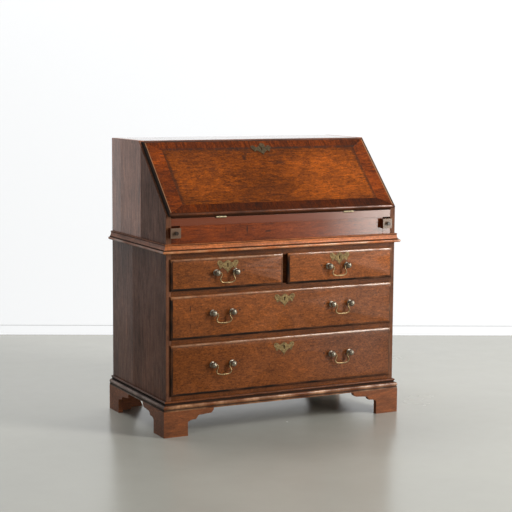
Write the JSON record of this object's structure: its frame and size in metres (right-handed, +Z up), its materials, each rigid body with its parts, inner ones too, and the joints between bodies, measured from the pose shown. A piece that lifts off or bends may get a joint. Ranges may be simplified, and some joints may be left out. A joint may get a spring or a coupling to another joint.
{
  "type": "secretary desk",
  "caption": "Slant-front oak bureau: drawers with brass bail handles, a sloping fall on pull-out lopers, and a gallery of pigeonholes and small drawers inside.",
  "frame": {"origin": "on the floor, under the middle of the whole object's box", "axes": "+Z up, -Y towards the front, +X to the right as seen from the front"},
  "size_m": [0.954, 0.533, 1.016],
  "materials": {
    "oak_side": "waxed, dark grey-brown",
    "oak_front": "waxed, medium brown",
    "oak_fall": "polished, warm orange-brown",
    "oak_band": "polished, cross-grained",
    "oak_rail": "waxed, reddish brown",
    "oak_moulding": "waxed, worn on the edges",
    "oak_inside": "dry, unpolished",
    "old_brass": "tarnished"
  },
  "bodies": {
    "carcase": {"chest_side_left": "oak_side", "chest_side_right": "oak_side", "desk_side_left": "oak_side", "desk_side_right": "oak_side", "chest_bottom": "oak_inside", "drawer_rails": "oak_front", "drawer_runners": "oak_inside", "chest_top_board": "oak_inside", "chest_back_boards": "oak_inside", "desk_back_boards": "oak_inside", "desk_top_board": "oak_side", "writing_bed": "oak_inside", "well_walls": "oak_inside", "loper_rail": "oak_rail", "loper_housings": "oak_rail", "waist_moulding": "oak_moulding", "base_moulding": "oak_moulding", "foot_front_left": "oak_moulding", "foot_front_right": "oak_moulding", "foot_rear_left": "oak_moulding", "foot_rear_right": "oak_moulding", "gallery_frame": "oak_inside", "pigeonhole_valances": "oak_inside", "fall_hinge_bed_leaves": "old_brass", "fall_hinge_pins": "old_brass"},
    "fall": {"fall_board": "oak_fall", "fall_crossbanding": "oak_band", "fall_hinge_fall_leaves": "old_brass", "fall_escutcheon": "old_brass", "fall_lock": "old_brass"},
    "loper_left": {"loper_left": "oak_rail"},
    "loper_right": {"loper_right": "oak_rail"},
    "short_left_drawer": {"short_left_front": "oak_front", "short_left_box": "oak_inside", "short_left_posts": "old_brass", "short_left_lock": "old_brass"},
    "short_right_drawer": {"short_right_front": "oak_front", "short_right_box": "oak_inside", "short_right_posts": "old_brass", "short_right_lock": "old_brass"},
    "upper_drawer": {"upper_front": "oak_front", "upper_box": "oak_inside", "upper_posts": "old_brass", "upper_lock": "old_brass"},
    "lower_drawer": {"lower_front": "oak_front", "lower_box": "oak_inside", "lower_posts": "old_brass", "lower_lock": "old_brass"},
    "short_left_bail": {"short_left_bail": "old_brass"},
    "short_right_bail": {"short_right_bail": "old_brass"},
    "upper_left_bail": {"upper_left_bail": "old_brass"},
    "upper_right_bail": {"upper_right_bail": "old_brass"},
    "lower_left_bail": {"lower_left_bail": "old_brass"},
    "lower_right_bail": {"lower_right_bail": "old_brass"},
    "well_slide": {"well_slide": "oak_fall"},
    "gallery_drawer_1": {"gallery_drawer_1": "oak_inside"},
    "gallery_drawer_2": {"gallery_drawer_2": "oak_inside"},
    "gallery_drawer_3": {"gallery_drawer_3": "oak_inside"},
    "gallery_drawer_4": {"gallery_drawer_4": "oak_inside"},
    "prospect_door": {"prospect_door": "oak_fall"}
  },
  "joints": [
    {"name": "fall_hinge", "type": "hinge", "parent": "carcase", "child": "fall", "pos_m": [0, -0.2335, 0.76], "axis": [1, 0, 0], "range_deg": [0, 135]},
    {"name": "loper_left_slide", "type": "slide", "parent": "carcase", "child": "loper_left", "axis": [0, -1, 0], "range_m": [0, 0.3]},
    {"name": "loper_right_slide", "type": "slide", "parent": "carcase", "child": "loper_right", "axis": [0, -1, 0], "range_m": [0, 0.3]},
    {"name": "short_left_slide", "type": "slide", "parent": "carcase", "child": "short_left_drawer", "axis": [0, -1, 0], "range_m": [0, 0.36]},
    {"name": "short_right_slide", "type": "slide", "parent": "carcase", "child": "short_right_drawer", "axis": [0, -1, 0], "range_m": [0, 0.36]},
    {"name": "upper_slide", "type": "slide", "parent": "carcase", "child": "upper_drawer", "axis": [0, -1, 0], "range_m": [0, 0.36]},
    {"name": "lower_slide", "type": "slide", "parent": "carcase", "child": "lower_drawer", "axis": [0, -1, 0], "range_m": [0, 0.36]},
    {"name": "short_left_bail_swing", "type": "hinge", "parent": "short_left_drawer", "child": "short_left_bail", "pos_m": [-0.236, -0.2565, 0.567], "axis": [-1, 0, 0], "range_deg": [-15, 95]},
    {"name": "short_right_bail_swing", "type": "hinge", "parent": "short_right_drawer", "child": "short_right_bail", "pos_m": [0.214, -0.2565, 0.566], "axis": [-1, 0, 0], "range_deg": [-15, 95]},
    {"name": "upper_left_bail_swing", "type": "hinge", "parent": "upper_drawer", "child": "upper_left_bail", "pos_m": [-0.249, -0.2565, 0.426], "axis": [-1, 0, 0], "range_deg": [-15, 95]},
    {"name": "upper_right_bail_swing", "type": "hinge", "parent": "upper_drawer", "child": "upper_right_bail", "pos_m": [0.229, -0.2565, 0.426], "axis": [-1, 0, 0], "range_deg": [-15, 95]},
    {"name": "lower_left_bail_swing", "type": "hinge", "parent": "lower_drawer", "child": "lower_left_bail", "pos_m": [-0.249, -0.2565, 0.243], "axis": [-1, 0, 0], "range_deg": [-15, 95]},
    {"name": "lower_right_bail_swing", "type": "hinge", "parent": "lower_drawer", "child": "lower_right_bail", "pos_m": [0.229, -0.2565, 0.243], "axis": [-1, 0, 0], "range_deg": [-15, 95]},
    {"name": "well_lid_slide", "type": "slide", "parent": "carcase", "child": "well_slide", "axis": [0, 1, 0], "range_m": [0, 0.17]},
    {"name": "gallery_drawer_1_slide", "type": "slide", "parent": "carcase", "child": "gallery_drawer_1", "axis": [0, -1, 0], "range_m": [0, 0.15]},
    {"name": "gallery_drawer_2_slide", "type": "slide", "parent": "carcase", "child": "gallery_drawer_2", "axis": [0, -1, 0], "range_m": [0, 0.15]},
    {"name": "gallery_drawer_3_slide", "type": "slide", "parent": "carcase", "child": "gallery_drawer_3", "axis": [0, -1, 0], "range_m": [0, 0.15]},
    {"name": "gallery_drawer_4_slide", "type": "slide", "parent": "carcase", "child": "gallery_drawer_4", "axis": [0, -1, 0], "range_m": [0, 0.15]},
    {"name": "prospect_door_hinge", "type": "hinge", "parent": "carcase", "child": "prospect_door", "pos_m": [-0.056, 0.0575, 0.84], "axis": [0, 0, -1], "range_deg": [0, 90]}
  ]
}
